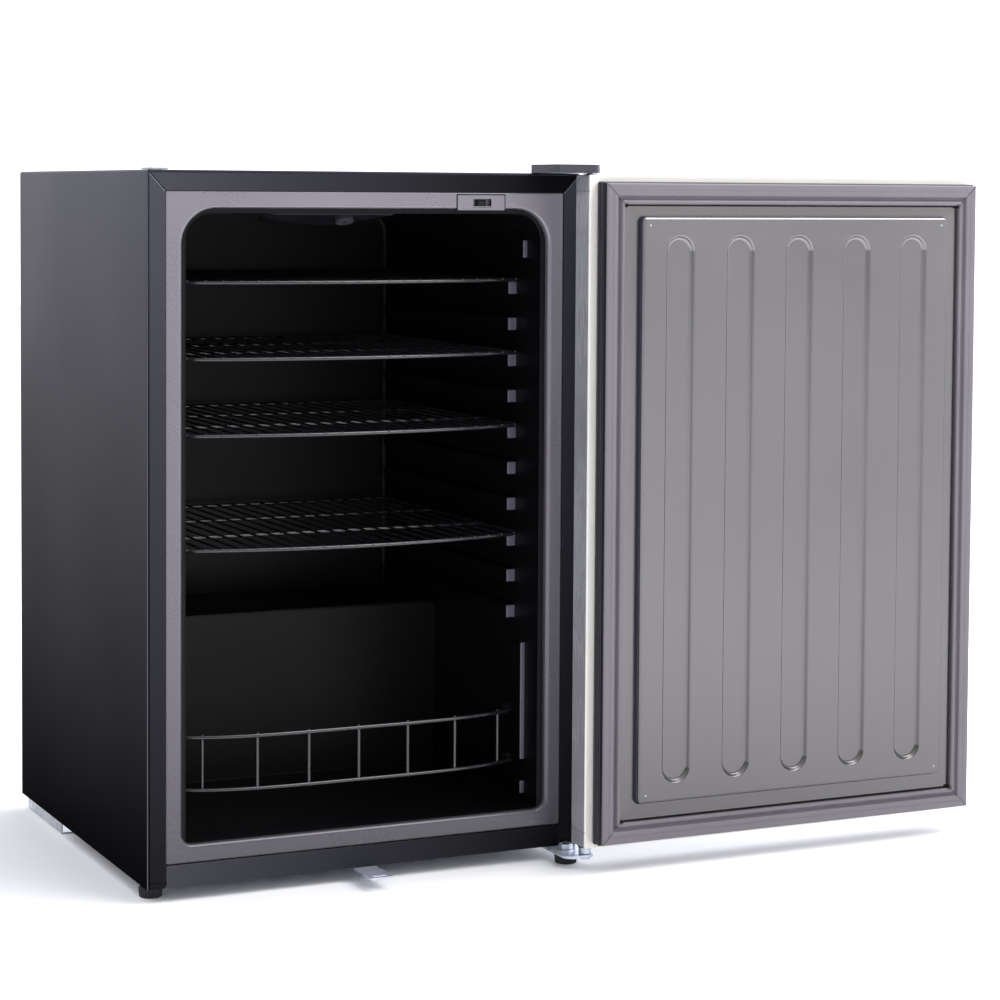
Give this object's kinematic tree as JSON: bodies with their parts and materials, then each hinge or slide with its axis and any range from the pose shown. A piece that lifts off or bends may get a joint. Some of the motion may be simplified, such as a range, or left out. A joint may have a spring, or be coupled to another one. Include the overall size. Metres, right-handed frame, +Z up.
{
  "type": "mini fridge",
  "caption": "Compact beverage fridge, door swung open: folded steel cabinet, black liner with wire shelves and bottle guard, pressed door panel, rear cooling circuit.",
  "frame": {"origin": "centre of the bounding box, with the door open, on the floor under the feet", "axes": "+X across the front from the hinge-free side towards the open door, +Y from the cabinet front to its back, +Z up"},
  "size_m": [1.0584, 0.6512, 0.837],
  "materials": {
    "black_steel": "satin",
    "galvanised": "satin",
    "foam": "matte",
    "black_plastic": "satin",
    "grey_trim": "satin",
    "grey_panel": "satin",
    "aluminium": "satin",
    "coated_wire": "satin",
    "smoked_plastic": "gloss",
    "circuit_board": "satin",
    "dark_grey_plastic": "satin",
    "light_grey_plastic": "satin",
    "white_plastic": "satin",
    "black_enamel": "satin",
    "black_rubber": "matte",
    "copper": "satin",
    "foot_plastic": "matte",
    "zinc": "satin",
    "stainless": "satin",
    "gasket_rubber": "matte",
    "chrome": "polished"
  },
  "bodies": {
    "cabinet": {"outer_wrap": "black_steel", "back_panel": "black_steel", "base_plate": "galvanised", "bay_panel": "galvanised", "kick_band": "black_steel", "compressor_plate": "galvanised", "cabinet_foam": "foam", "liner": "black_plastic", "throat_frame": "grey_trim", "evaporator_plate": "aluminium", "bottle_guard": "coated_wire", "light_switch_bezel": "grey_trim", "lamp_housing": "smoked_plastic", "led_board": "circuit_board", "compressor": "black_enamel", "compressor_relay_cover": "black_plastic", "grommet_front_left": "black_rubber", "grommet_front_right": "black_rubber", "grommet_rear_left": "black_rubber", "grommet_rear_right": "black_rubber", "drip_tray": "black_plastic", "drain_tube": "white_plastic", "suction_line": "copper", "discharge_line": "copper", "capillary_tube": "copper", "filter_drier": "copper", "condenser_coil": "black_enamel", "condenser_strip_left": "galvanised", "condenser_strip_right": "galvanised", "cord_gland": "black_plastic", "foot_nut": "zinc", "bottom_hinge_plate": "zinc", "bottom_hinge_pin": "zinc", "bottom_hinge_screw_front": "zinc", "bottom_hinge_screw_rear": "zinc", "top_hinge_bracket": "zinc", "top_hinge_pin": "zinc", "top_hinge_cover": "dark_grey_plastic", "hinge_hole_plug": "light_grey_plastic", "lock_strike": "zinc"},
    "door": {"door_skin": "stainless", "door_foam": "foam", "door_inner_panel": "grey_panel", "door_gasket": "gasket_rubber", "door_bush_top": "black_plastic", "door_bush_bottom": "black_plastic", "handle_bar": "stainless", "handle_post_upper": "stainless", "handle_post_lower": "stainless", "lock_housing": "black_plastic"},
    "shelf_1_body": {"shelf_1": "coated_wire"},
    "shelf_2_body": {"shelf_2": "coated_wire"},
    "shelf_3_body": {"shelf_3": "coated_wire"},
    "shelf_4_body": {"shelf_4": "coated_wire"},
    "light_switch": {"light_switch_slider": "black_plastic"},
    "thermostat": {"thermostat_dial": "dark_grey_plastic"},
    "levelling_foot_left": {"foot_left": "foot_plastic"},
    "levelling_foot_right": {"foot_right": "foot_plastic"},
    "door_lock_plug": {"lock_plug": "chrome"},
    "door_lock_bolt": {"lock_bolt": "zinc"}
  },
  "joints": [
    {"name": "door_hinge", "type": "hinge", "parent": "cabinet", "child": "door", "pos_m": [0, -0.27594, 0.42714], "axis": [0, 0, 1], "range_deg": [-180, 0]},
    {"name": "shelf_1_slide", "type": "slide", "parent": "cabinet", "child": "shelf_1_body", "axis": [0, -1, 0], "range_m": [0, 0.324]},
    {"name": "shelf_2_slide", "type": "slide", "parent": "cabinet", "child": "shelf_2_body", "axis": [0, -1, 0], "range_m": [0, 0.324]},
    {"name": "shelf_3_slide", "type": "slide", "parent": "cabinet", "child": "shelf_3_body", "axis": [0, -1, 0], "range_m": [0, 0.324]},
    {"name": "shelf_4_slide", "type": "slide", "parent": "cabinet", "child": "shelf_4_body", "axis": [0, -1, 0], "range_m": [0, 0.324]},
    {"name": "light_switch_slide", "type": "slide", "parent": "cabinet", "child": "light_switch", "axis": [1, 0, 0], "range_m": [-0.00486, 0.00162]},
    {"name": "thermostat_turn", "type": "hinge", "parent": "cabinet", "child": "thermostat", "pos_m": [-0.26028, -0.14796, 0.77096], "axis": [0, -0.2959, -0.9552], "range_deg": [-150, 150]},
    {"name": "foot_left_turn", "type": "hinge", "parent": "cabinet", "child": "levelling_foot_left", "pos_m": [-0.51354, -0.19386, 0.0081], "axis": [0, 0, 1], "continuous": true},
    {"name": "foot_right_turn", "type": "hinge", "parent": "cabinet", "child": "levelling_foot_right", "pos_m": [-0.0108, -0.24678, 0.0081], "axis": [0, 0, 1], "continuous": true},
    {"name": "lock_key_turn", "type": "hinge", "parent": "door", "child": "door_lock_plug", "pos_m": [0.2646, -0.26298, 0.0513], "axis": [0, 1, 0], "range_deg": [0, 90]},
    {"name": "lock_bolt_drop", "type": "slide", "parent": "door", "child": "door_lock_bolt", "axis": [0, 0, -1], "range_m": [0, 0.01512]}
  ],
  "couplings": [
    {"joint": "lock_key_turn", "follows": "lock_bolt_drop", "rad_per_m": 103.89}
  ]
}
